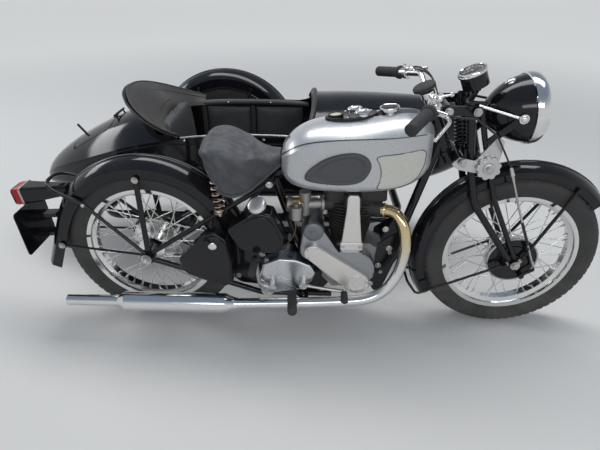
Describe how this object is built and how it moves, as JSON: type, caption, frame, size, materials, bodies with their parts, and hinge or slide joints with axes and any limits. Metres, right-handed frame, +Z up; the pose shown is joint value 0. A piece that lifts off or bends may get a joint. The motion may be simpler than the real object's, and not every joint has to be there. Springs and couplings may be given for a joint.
{
  "type": "motorcycle with sidecar",
  "caption": "Vintage girder-fork motorcycle with a rigid rear end and a single-seat sidecar on its left side, standing on its three wheels.",
  "frame": {"origin": "on the floor under the middle of the outfit's outline, z = 0 where the tyres stand", "axes": "+X points forward, +Y to the left, the sidecar's side, and +Z up"},
  "size_m": [2.404, 1.6276, 1.0228],
  "materials": {
    "black_enamel": "gloss",
    "silver_paint": "satin",
    "chrome_plate": "mirror polished",
    "bright_steel": "satin",
    "spring_steel": "bright, slightly coppery",
    "chain_steel": "oiled",
    "cast_aluminium": "as cast",
    "polished_aluminium": "polished",
    "grey_casting": "as cast",
    "black_iron": "satin black",
    "spoked_wheels": "polished rims and spokes",
    "tyres": "matt",
    "black_rubber": "matt",
    "saddle_leather": "worn",
    "seat_trim": "matt",
    "lamp_glass": "clear"
  },
  "bodies": {
    "motorcycle_and_sidecar": {"head_and_tank_tube": "black_enamel", "down_tube": "black_enamel", "seat_tube": "black_enamel", "seat_stays": "black_enamel", "chain_stays": "black_enamel", "crankcase": "cast_aluminium", "engine_plates": "black_enamel", "timing_case": "polished_aluminium", "cylinder": "black_iron", "cylinder_head": "black_iron", "pushrod_tower": "polished_aluminium", "carburettor": "cast_aluminium", "magneto_dynamo": "grey_casting", "exhaust_pipe": "chrome_plate", "silencer": "chrome_plate", "gearbox": "polished_aluminium", "foot_levers": "bright_steel", "primary_case": "black_enamel", "rear_chain": "chain_steel", "oil_tank": "black_enamel", "toolbox": "black_enamel", "fuel_tank": "silver_paint", "tank_fittings": "black_rubber", "saddle": "saddle_leather", "saddle_springs": "spring_steel", "rear_mudguard": "black_enamel", "rear_stays": "black_enamel", "tail_lamp": "black_enamel", "number_plate": "black_enamel", "chassis_near_rail": "black_enamel", "chassis_far_rail": "black_enamel", "chassis_cross": "black_enamel", "chassis_fittings": "black_enamel", "sidecar_body": "black_enamel", "coaming": "black_enamel", "seat": "seat_trim", "sidecar_mudguard": "black_enamel"},
    "steering": {"fork_links": "black_enamel", "girder": "black_enamel", "fork_spring": "spring_steel", "brake_plate": "black_enamel", "front_mudguard": "black_enamel", "headlamp": "black_enamel", "headlamp_glass": "lamp_glass", "handlebar": "chrome_plate", "grips": "black_rubber", "speedometer": "black_enamel", "brake_cable": "black_rubber"},
    "front_wheel_set": {"front_wheel": "spoked_wheels", "front_tyre": "tyres"},
    "rear_wheel_set": {"rear_wheel": "spoked_wheels", "rear_tyre": "tyres"},
    "sidecar_wheel_set": {"sidecar_wheel": "spoked_wheels", "sidecar_tyre": "tyres"},
    "front_stand": {"front_stand": "black_enamel"},
    "locker_lid": {"locker_lid": "black_enamel"}
  },
  "joints": [
    {"name": "steering_turn", "type": "hinge", "parent": "motorcycle_and_sidecar", "child": "steering", "pos_m": [0.54, -0.4442, 0.8], "axis": [-0.4384, 0, 0.8988], "range_deg": [-32, 32]},
    {"name": "front_wheel_spin", "type": "hinge", "parent": "steering", "child": "front_wheel_set", "pos_m": [0.872, -0.4442, 0.33], "axis": [0, 1, 0], "continuous": true},
    {"name": "rear_wheel_spin", "type": "hinge", "parent": "motorcycle_and_sidecar", "child": "rear_wheel_set", "pos_m": [-0.5, -0.4442, 0.33], "axis": [0, 1, 0], "continuous": true},
    {"name": "sidecar_wheel_spin", "type": "hinge", "parent": "motorcycle_and_sidecar", "child": "sidecar_wheel_set", "pos_m": [-0.39, 0.7358, 0.33], "axis": [0, 1, 0], "continuous": true},
    {"name": "front_stand_swing", "type": "hinge", "parent": "steering", "child": "front_stand", "pos_m": [0.838, -0.4442, 0.322], "axis": [0, -1, 0], "range_deg": [0, 38]},
    {"name": "locker_lid_lift", "type": "hinge", "parent": "motorcycle_and_sidecar", "child": "locker_lid", "pos_m": [-0.8, 0.1538, 0.668], "axis": [0, 1, 0], "range_deg": [0, 70]}
  ]
}
